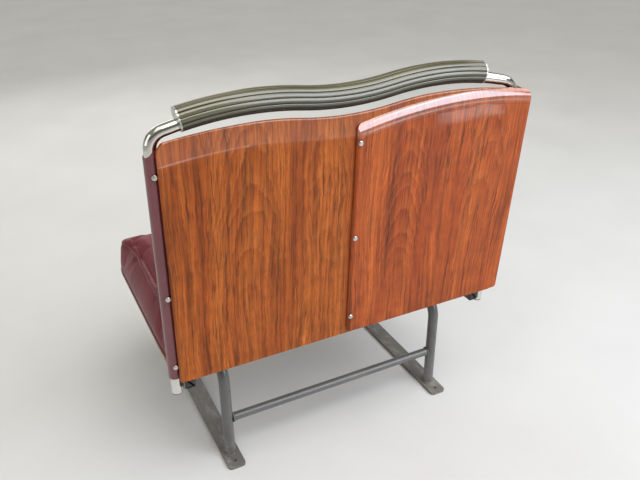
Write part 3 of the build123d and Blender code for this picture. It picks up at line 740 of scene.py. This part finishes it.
def flute(p, where, a0, a1, b0, b1, count, deep, wide=0.013, calm=9.0):
    """Sews channels that run along b into the rectangle, with a sewn border
    round them; where: how much of the depth each point takes; calm: the b past
    which the cover lies smoother."""
    a, b = p[:, 0].copy(), p[:, 1].copy()
    pitch = (a1 - a0) / count
    inside_a = (a > a0 - pitch / 2) & (a < a1 + pitch / 2)
    inside_b = (b > b0 - 0.004) & (b < b1 + 0.004)
    # points beside a seam are drawn onto it
    seam = a0 + np.round((a - a0) / pitch) * pitch
    near = inside_b & inside_a & (np.abs(a - seam) < 0.0016) & (where > 0.3)
    p[near, 0] += 0.9 * (seam[near] - p[near, 0])
    for edge in (b0, b1):
        near = (a > a0 - 0.001) & (a < a1 + 0.001) & (np.abs(b - edge) < 0.0016) & (where > 0.3)
        p[near, 1] += 0.9 * (edge - p[near, 1])
    a, b = p[:, 0], p[:, 1]
    da = np.maximum(np.maximum(a0 - a, a - a1), 0.0)
    db = np.maximum(np.maximum(b0 - b, b - b1), 0.0)
    outside = np.hypot(da, db)
    t = ((a - a0) / pitch) % 1.0
    t = np.where(np.abs(a - (a0 + np.round((a - a0) / pitch) * pitch)) < 0.0002, 0.0, t)
    pillow = np.sin(pi * t) ** 0.60
    ends = np.clip(np.minimum(b - b0, b1 - b) / 0.024, 0.0, 1.0)
    ends = np.sqrt(np.clip(1 - (1 - ends) ** 2, 0, 1))
    # the border swells up again from its seam
    rise = np.sin(pi / 2 * np.clip(outside / wide, 0.0, 1.0)) ** 0.75
    depth = np.where(outside > 0, deep * (rise - 1.0), deep * (pillow * ends - 1.0))
    # small gathers across the border's seam
    line = np.where(outside > 0, outside, np.minimum(np.minimum(a - a0, a1 - a), np.minimum(b - b0, b1 - b)))
    gather = np.exp(-np.abs(line - 0.006) / 0.008) * ripple(p, 5.5, 95.0, 0.0011) * (1 - 0.7 * step(b, calm, calm + 0.05))
    p[:, 2] += (depth + gather) * where


def ripple(p, seed, size, amount):
    return np.array([noise.noise(Vector((x, y, z)) * size + Vector((seed, seed * 2.3, 0))) for x, y, z in p]) * amount


def finish_cushion(name, me, to_world, node, material="leather"):
    set_coords(me, to_world(coords(me)))
    outward(me)
    me.name = name
    me.materials.clear()
    me.materials.append(MAT[material])
    me.polygons.foreach_set("use_smooth", [True] * len(me.polygons))
    out = bpy.data.objects.new(name, me)
    SCENE.collection.objects.link(out)
    fixed(out)
    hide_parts(node)
    return out


def tube(name, path, radius, mat, sides=10, closed=True, wobble=None):
    """Round bead along points; wobble(i) scales its radius at each point."""
    n = len(path)
    verts, faces = [], []
    frames = []
    for i in range(n):
        before = path[(i - 1) % n] if closed or i else path[i]
        after = path[(i + 1) % n] if closed or i < n - 1 else path[i]
        frames.append((after - before).normalized())
    side = frames[0].orthogonal().normalized()
    for i in range(n):
        side = (side - frames[i] * side.dot(frames[i])).normalized()
        other = frames[i].cross(side)
        r = radius * (wobble(i) if wobble else 1.0)
        for k in range(sides):
            g = 2 * pi * k / sides
            verts.append(path[i] + (side * cos(g) + other * sin(g)) * r)
    # undo the twist that a closed path gathers
    rings = n if closed else n - 1
    shift = 0
    if closed:
        start = verts[0] - path[0]
        side_end = (side - frames[0] * side.dot(frames[0])).normalized()
        other_end = frames[0].cross(side_end)
        g = atan2(start.dot(other_end), start.dot(side_end))
        shift = int(round(g / (2 * pi / sides)))
    for i in range(rings):
        j = (i + 1) % n
        s = shift if j == 0 else 0
        for k in range(sides):
            m = (k + 1) % sides
            faces.append((i * sides + k, j * sides + (k - s) % sides, j * sides + (m - s) % sides, i * sides + m))
    if not closed:
        faces.append(tuple(range(sides)))
        faces.append(tuple((n - 1) * sides + k for k in reversed(range(sides))))
    return mesh_object(name, verts, faces, MAT[mat])


def even(points, spacing):
    """The closed path's points again, evenly spaced and relaxed."""
    pts = [Vector(p) for p in points]
    for _ in range(6):
        pts = [(pts[i - 1] + pts[i] * 2 + pts[(i + 1) % len(pts)]) / 4 for i in range(len(pts))]
    total = [0.0]
    for i in range(len(pts)):
        total.append(total[-1] + (pts[(i + 1) % len(pts)] - pts[i]).length)
    count = int(total[-1] / spacing)
    out, k = [], 0
    for i in range(count):
        want = total[-1] * i / count
        while total[k + 1] < want:
            k += 1
        f = (want - total[k]) / max(total[k + 1] - total[k], 1e-9)
        out.append(pts[k].lerp(pts[(k + 1) % len(pts)], f))
    return out


def welt(name, me, to_world, a0, a1, b0, b1, level, r_plan, radius=0.0034):
    """Piping round a cushion at height level(b), laid on its surface."""
    p = coords(me)
    polys = [tuple(q.vertices) for q in me.polygons]
    tree = BVHTree.FromPolygons([tuple(v) for v in p], polys)
    path = []
    for a, b, na, nb in round_rect(a0, a1, b0, b1, r_plan, 0.008, 9):
        out = Vector((na, nb, 0.0))
        hit = tree.ray_cast(Vector((a, b, level(b))) + out * 0.05, -out, 0.12)
        if hit[0] is not None:
            path.append(hit[0] + out * radius * 0.35)
    path = even(path, 0.004)
    world = [Vector(v) for v in to_world(np.array([tuple(v) for v in path]))]
    ob = tube(name, world, radius, "piping", sides=10)
    return fixed(ob)


# --------------------------------------------------------------------------
# Upholstery: cushions with sewn channels and piping
# --------------------------------------------------------------------------
SEAT = dict(a0=0.002, a1=0.447, b0=-0.311, b1=0.200, c0=0.3452)
BACK = dict(a0=0.002, a1=0.424, b0=0.452, b1=0.889, c0=0.0162)


def seat_top(b):
    return 0.4541 - 0.0115 * (b + 0.312) / 0.512


def back_top(v):
    """Thickness of the back pad in front of the uprights' centre lines."""
    (p, tp), (q, tq), (r, tr) = (0.452, 0.092), (0.602, 0.096), (0.889, 0.061)
    return (
        tp * (v - q) * (v - r) / ((p - q) * (p - r))
        + tq * (v - p) * (v - r) / ((q - p) * (q - r))
        + tr * (v - p) * (v - q) / ((r - p) * (r - q))
    )


def seat_world(side):
    def place(p):
        q = p.copy()
        full = np.clip((q[:, 2] - 0.345) / 0.11, 0.0, 1.0)
        q[:, 2] += 0.016 * step(q[:, 1], 0.05, 0.18) * full
        q[:, 1] += 0.014 * step(q[:, 1], 0.04, 0.19)
        q[:, 0] *= side
        return q
    return place


def back_world(side, squeeze=1.0):
    def place(p):
        x = (p[:, 0] - 0.002) * squeeze + 0.002
        v, w = p[:, 1] - 0.015 * (1 - step(p[:, 1], 0.455, 0.62)), -p[:, 2]
        return np.stack([x * side, BACK_Y0 + v * SR + w * CR, v * CR - w * SR], axis=1)
    return place


def cushion_mesh(name, box, top, r_plan, r_edge, tight, inset, drop, cap, pressure, extra=None):
    a0, a1, b0, b1, c0 = (box[k] for k in ("a0", "a1", "b0", "b1", "c0"))
    rings = pillow_rings(
        a0 + inset, a1 - inset, b0 + inset, b1 - inset, c0, lambda b: top(b) - drop, r_plan, r_edge,
        tight,
    )
    verts, faces = ring_solid(rings)
    if extra:
        verts, faces = ring_solid(extra, verts, faces)
    me = inflate(name, verts, faces, c0 + 0.006, cap, pressure)
    p = coords(me)
    p[:, 0] = np.clip(p[:, 0], a0 + 0.0006, a1 - 0.0006)
    p[:, 1] = np.clip(p[:, 1], b0 - 0.004, b1 + 0.002)
    low = c0 if extra is None else -0.0138
    p[:, 2] = np.maximum(p[:, 2], low)
    set_coords(me, p)
    return me


seat_me = cushion_mesh("seat_cushion", SEAT, seat_top, 0.030, 0.022, 1, 0.007, 0.013, 0.024, 3.6)
seat_welts = seat_me
seat_me = divided(seat_me)
p, n = coords(seat_me), normals(seat_me)
on_top = step(n[:, 2], 0.35, 0.80)
soft = step(p[:, 2], 0.350, 0.375)[:, None]
p += n * (ripple(p, 1.7, 9.0, 0.0012) + ripple(p, 4.1, 26.0, 0.0006))[:, None] * soft
flute(p, on_top, 0.050, 0.399, -0.252, 0.148, 6, 0.0085, calm=0.10)
p[:, 2] = np.maximum(p[:, 2], SEAT["c0"])
p[:, 0] = np.clip(p[:, 0], 0.0026, 0.4464)
set_coords(seat_me, p)

# the top of the back pad also runs rearwards over the core board
over = round_rect(0.006, 0.411, 0.841, 0.885, 0.012, 0.02, 4)
over_rings = []
for c, inset in ((-0.0125, 0.005), (-0.0105, 0.001), (-0.006, 0.0), (0.020, 0.0), (0.034, 0.0)):
    over_rings.append([(a - na * inset, b - nb * inset, c) for a, b, na, nb in over])
back_me = cushion_mesh("back_cushion", BACK, back_top, 0.028, 0.020, -1, 0.007, 0.011, 0.022, 3.6, over_rings)
back_welts = back_me
back_me = divided(back_me)
p, n = coords(back_me), normals(back_me)
main = p[:, 2] > 0.018
p[main, 2] = np.maximum(p[main, 2], BACK["c0"])
behind = (p[:, 2] < 0.0162) & (p[:, 1] < 0.8395)
p[behind, 2] = 0.0162
on_top = step(n[:, 2], 0.35, 0.80) * step(p[:, 2], 0.030, 0.045)
soft = step(p[:, 2], 0.020, 0.040)[:, None]
p += n * (ripple(p, 8.3, 9.0, 0.0011) + ripple(p, 2.9, 26.0, 0.0006))[:, None] * soft
flute(p, on_top, 0.048, 0.378, 0.502, 0.838, 6, 0.0075)
p[:, 0] = np.clip(p[:, 0], 0.0026, 0.4234)
set_coords(back_me, p)

SQUEEZE = (0.410 - 0.002) / (0.424 - 0.002)
for side, sign, squeeze in (("aisle", 1, 1.0), ("window", -1, SQUEEZE)):
    finish_cushion("seat_pad_" + side, seat_me.copy(), seat_world(sign), "seat_cushion_" + side)
    welt("seat_welt_top_" + side, seat_welts, seat_world(sign), 0.010, 0.439, -0.304, 0.192,
         lambda b: seat_top(b) - 0.022, 0.032)
    welt("seat_welt_low_" + side, seat_welts, seat_world(sign), 0.010, 0.439, -0.304, 0.192,
         lambda b: SEAT["c0"] + 0.008, 0.032)
    finish_cushion("back_pad_" + side, back_me.copy(), back_world(sign, squeeze), "back_cushion_" + side)
    welt("back_welt_" + side, back_welts, back_world(sign, squeeze), 0.010, 0.416, 0.460, 0.881,
         lambda v: back_top(v) - 0.024, 0.030)


# leatherette drawn over the front of the core board
for piece, u0, u1, layers in (
    ("front", -0.4185, 0.4045, ((0.0151, 0.0), (0.0156, 0.0), (0.0160, 0.0006))),
    ("aisle", -0.4190, -0.4182, ((-0.0180, 0.0), (0.0, 0.0), (0.0160, 0.0))),
    ("window", 0.4042, 0.4050, ((-0.0180, 0.0), (0.0, 0.0), (0.0160, 0.0))),
):
    rings = []
    for c, inset in layers:
        ring = round_rect(u0, u1, 0.3515, 0.8370, 0.0003 if piece != "front" else 0.004, 0.02, 3)
        rings.append([back_point(a - na * inset, b - nb * inset, -c) for a, b, na, nb in ring])
    verts, faces = ring_solid(rings)
    fixed(mesh_object("backrest_lining_" + piece, verts, faces, MAT["cover"], smooth=False))

# --------------------------------------------------------------------------
# Two fine beads pressed into the shell under its band
# --------------------------------------------------------------------------
for k, (drop, radius) in enumerate(((0.0232, 0.00095), (0.0318, 0.0008))):
    r = SHELL_R - drop
    path = []
    for i in range(151):
        u = -0.004 + (0.4405 + 0.004) * i / 150
        v = SHELL_C[1] + sqrt(r * r - (u - SHELL_C[0]) ** 2)
        sunk = 0.0016 * (1 - min(1.0, min(i, 150 - i) / 7.0)) ** 2
        path.append(back_point(u, v, 0.0363 - 0.00035 - sunk))
    bead = tube(f"shell_bead_{k + 1}", path, radius, "shell", sides=10, closed=False)
    fixed(bead)

# --------------------------------------------------------------------------
# Small fixings
# --------------------------------------------------------------------------
def axes_of(direction):
    z = Vector(direction).normalized()
    x = z.orthogonal().normalized()
    return x, z.cross(x), z


def lathe(name, place, direction, profile, mat, sides=28, hexed=()):
    """Turned piece: profile is (radius, height) pairs from the seat outwards.
    Rows whose number is in hexed take a hexagon instead of a circle."""
    x, y, z = axes_of(direction)
    rings = []
    for row, (r, h) in enumerate(profile):
        ring = []
        for k in range(sides):
            g = 2 * pi * k / sides
            rr = r
            if row in hexed:
                part = (g + pi / 6) % (pi / 3) - pi / 6
                rr = r * cos(pi / 6) / cos(part)
            ring.append(Vector(place) + (x * cos(g) + y * sin(g)) * rr + z * h)
        rings.append(ring)
    verts, faces = ring_solid(rings)
    ob = mesh_object(name, verts, faces, MAT[mat], smooth=False)
    return ob


def hex_bolt(name, place, direction):
    """M8 hexagon head on a washer."""
    washer = lathe(
        name + "_washer", place, direction,
        [(0.0078, 0.0), (0.0082, 0.0004), (0.0082, 0.0012), (0.0078, 0.0016), (0.004, 0.0016)], "screw",
    )
    up_z = Vector(direction).normalized()
    head = lathe(
        name, Vector(place) + up_z * 0.0016, direction,
        [(0.0073, 0.0), (0.0075, 0.0003), (0.0075, 0.0044), (0.0068, 0.0053), (0.0055, 0.0056), (0.0010, 0.0056)],
        "screw", sides=36, hexed=(0, 1, 2),
    )
    for ob in (washer, head):
        fixed(ob)


def weld(name, place, direction, radius, bead=0.0024, waves=34):
    x, y, z = axes_of(direction)
    n = waves * 4
    path = [Vector(place) + (x * cos(2 * pi * i / n) + y * sin(2 * pi * i / n)) * radius for i in range(n)]
    ob = tube(name, path, bead, "steel", sides=8, wobble=lambda i: 1.0 + 0.13 * cos(2 * pi * i / 4) + 0.07 * sin(i * 1.7))
    return fixed(ob)


LEG_X, LEG_Y, BEARER_Y = 0.310, (-0.245, 0.190), (-0.150, 0.095)
STRAP_TOP = 0.3021
for side, sign in (("aisle", 1), ("window", -1)):
    x = LEG_X * sign
    for end, y in zip(("front", "rear"), LEG_Y):
        weld(f"foot_weld_{side}_{end}", (x, y, 0.0086), (0, 0, 1), 0.0152)
    weld(f"stretcher_weld_{side}", (x - sign * 0.0150, LEG_Y[1], 0.120), (1, 0, 0), 0.0118, 0.0021, 26)
    for end, y in zip(("front", "rear"), BEARER_Y):
        for k, dx in (("in", -0.0250), ("out", 0.0250)):
            hex_bolt(f"clamp_bolt_{side}_{end}_{k}", (x + dx * sign, y, STRAP_TOP - 0.003), (0, 0, -1))

# plugs in the open tube ends
UPRIGHT_U = {"aisle": -0.435, "window": 0.421}
RAIL_X = {"aisle": 0.4064, "window": -0.3924}
for side in ("aisle", "window"):
    foot = back_point(UPRIGHT_U[side], 0.293)
    plug = lathe(
        f"tube_plug_{side}", foot, (0, -SR, -CR),
        [(0.0122, -0.0002), (0.0125, 0.0005), (0.0123, 0.0020), (0.0108, 0.0032), (0.0050, 0.0037), (0.0008, 0.0038)],
        "rubber", sides=36,
    )
    plug.data.polygons.foreach_set("use_smooth", [True] * len(plug.data.polygons))
    fixed(plug)
    for end, y, out in (("front", -0.288, -1), ("rear", 0.250, 1)):
        x, z = RAIL_X[side], 0.3174
        rings = []
        for inset, h in ((0.0006, -0.0002), (0.0002, 0.0004), (0.0006, 0.0018), (0.0022, 0.0026), (0.0060, 0.0029)):
            ring = round_rect(x - 0.0125, x + 0.0125, z - 0.015, z + 0.015, 0.003, 0.01, 3)
            ring = [(a - na * inset, y + out * h, b - nb * inset) for a, b, na, nb in ring]
            rings.append(ring if out < 0 else list(reversed(ring)))
        verts, faces = ring_solid(rings)
        fixed(mesh_object(f"rail_plug_{side}_{end}", verts, faces, MAT["rubber"], smooth=False))


# --------------------------------------------------------------------------
# Stage
# --------------------------------------------------------------------------
def floor_material():
    t = Tree("pale_floor")
    p = t.place()
    cloud = t.noise(p, 2.2, 4.0, 0.6)
    speck = t.noise(p, 160.0, 3.0, 0.6)
    t.set(Base_Color=t.ramp(cloud, [(0.3, (0.600, 0.598, 0.588)), (0.7, (0.640, 0.638, 0.628))]))
    t.set(Roughness=t.band(cloud, 0.3, 0.7, 0.62, 0.72))
    t.set(Normal=t.bump(speck, 0.05, 0.001))
    return t.mat


floor = mesh_object(
    "floor", [(-40, -40, 0), (40, -40, 0), (40, 40, 0), (-40, 40, 0)], [(0, 1, 2, 3)],
    floor_material(), smooth=False,
)


def area_light(name, place, target, size, watts, colour=(1, 1, 1)):
    data = bpy.data.lights.new(name, "AREA")
    data.shape = "RECTANGLE"
    data.size, data.size_y = size
    data.energy = watts
    data.color = colour
    ob = bpy.data.objects.new(name, data)
    SCENE.collection.objects.link(ob)
    ob.location = place
    ob.rotation_euler = (Vector(target) - Vector(place)).to_track_quat("-Z", "Y").to_euler()
    return ob


area_light("window_light", (-1.65, 2.6, 2.0), (0, 0.2, 0.8), (2.2, 2.3), 72, (0.82, 0.90, 1.06))
area_light("side_light", (-2.6, 0.6, 2.3), (0, 0.1, 0.7), (2.4, 1.4), 22, (0.96, 0.97, 1.0))
area_light("ceiling_light", (0.5, 1.3, 3.4), (0, 0.1, 0.6), (3.0, 2.2), 26, (1.0, 0.98, 0.95))
area_light("aisle_fill", (3.0, 0.2, 1.6), (0, 0, 0.5), (2.0, 2.0), 16, (1.0, 0.98, 0.95))
area_light("front_fill", (0.3, -3.2, 2.0), (0, 0, 0.5), (2.6, 1.8), 26, (1.0, 0.99, 0.97))
sky = bpy.data.lights.new("sky_light", "SUN")
sky.energy, sky.angle, sky.color = 1.5, radians(50), (1.0, 0.99, 0.97)
sky_ob = bpy.data.objects.new("sky_light", sky)
SCENE.collection.objects.link(sky_ob)
sky_ob.rotation_euler = Vector((0.30, -0.45, -1.0)).to_track_quat("-Z", "Y").to_euler()

world = bpy.data.worlds.new("studio")
SCENE.world = world
world.use_nodes = True
wn = world.node_tree.nodes
wl = world.node_tree.links
back = wn["Background"]
coord = wn.new("ShaderNodeTexCoord")
sep = wn.new("ShaderNodeSeparateXYZ")
ramp = wn.new("ShaderNodeValToRGB")
wl.new(coord.outputs["Generated"], sep.inputs[0])
mapr = wn.new("ShaderNodeMapRange")
mapr.inputs["From Min"].default_value = -1.0
wl.new(sep.outputs[2], mapr.inputs["Value"])
wl.new(mapr.outputs[0], ramp.inputs[0])
stops = [
    (0.00, (0.30, 0.30, 0.30)),
    (0.48, (0.40, 0.40, 0.40)),
    (0.52, (0.62, 0.62, 0.63)),
    (0.58, (0.17, 0.17, 0.165)),
    (0.68, (0.18, 0.175, 0.155)),
    (0.76, (0.42, 0.41, 0.36)),
    (1.00, (0.52, 0.50, 0.43)),
]
while len(ramp.color_ramp.elements) < len(stops):
    ramp.color_ramp.elements.new(0.5)
for e, (pos, g) in zip(ramp.color_ramp.elements, stops):
    e.position = pos
    e.color = (*g, 1)
wl.new(ramp.outputs[0], back.inputs["Color"])
back.inputs["Strength"].default_value = 0.70

# --------------------------------------------------------------------------
# Camera: where the photograph was taken from, seen from this seat, turned
# down until the whole seat is in view
# --------------------------------------------------------------------------
CAM_PLACE = Vector((0.6917, 1.4781, 1.3334))
YAW, PITCH, ROLL = radians(31.12), radians(5.36), radians(1.8)
TILT_DOWN, PAN = radians(22.6), radians(4.6)
look = Vector((-sin(YAW) * cos(PITCH), -cos(YAW) * cos(PITCH), -sin(PITCH)))
right = look.cross(Vector((0, 0, 1))).normalized()
up = right.cross(look)
cam_x = right * cos(ROLL) + up * sin(ROLL)
cam_y = up * cos(ROLL) - right * sin(ROLL)
photo_axes = Matrix((cam_x, cam_y, -look)).transposed()
axes = photo_axes @ Matrix.Rotation(-TILT_DOWN, 3, "X") @ Matrix.Rotation(PAN, 3, "Y")
cam_data = bpy.data.cameras.new("camera")
cam_data.sensor_width = 36.0
cam_data.lens = 35.1 * 1.10
cam_data.clip_start, cam_data.clip_end = 0.02, 200.0
camera = bpy.data.objects.new("camera", cam_data)
camera.matrix_world = Matrix.Translation(CAM_PLACE) @ axes.to_4x4()
SCENE.collection.objects.link(camera)
SCENE.camera = camera
SCENE.view_settings.view_transform = "Standard"
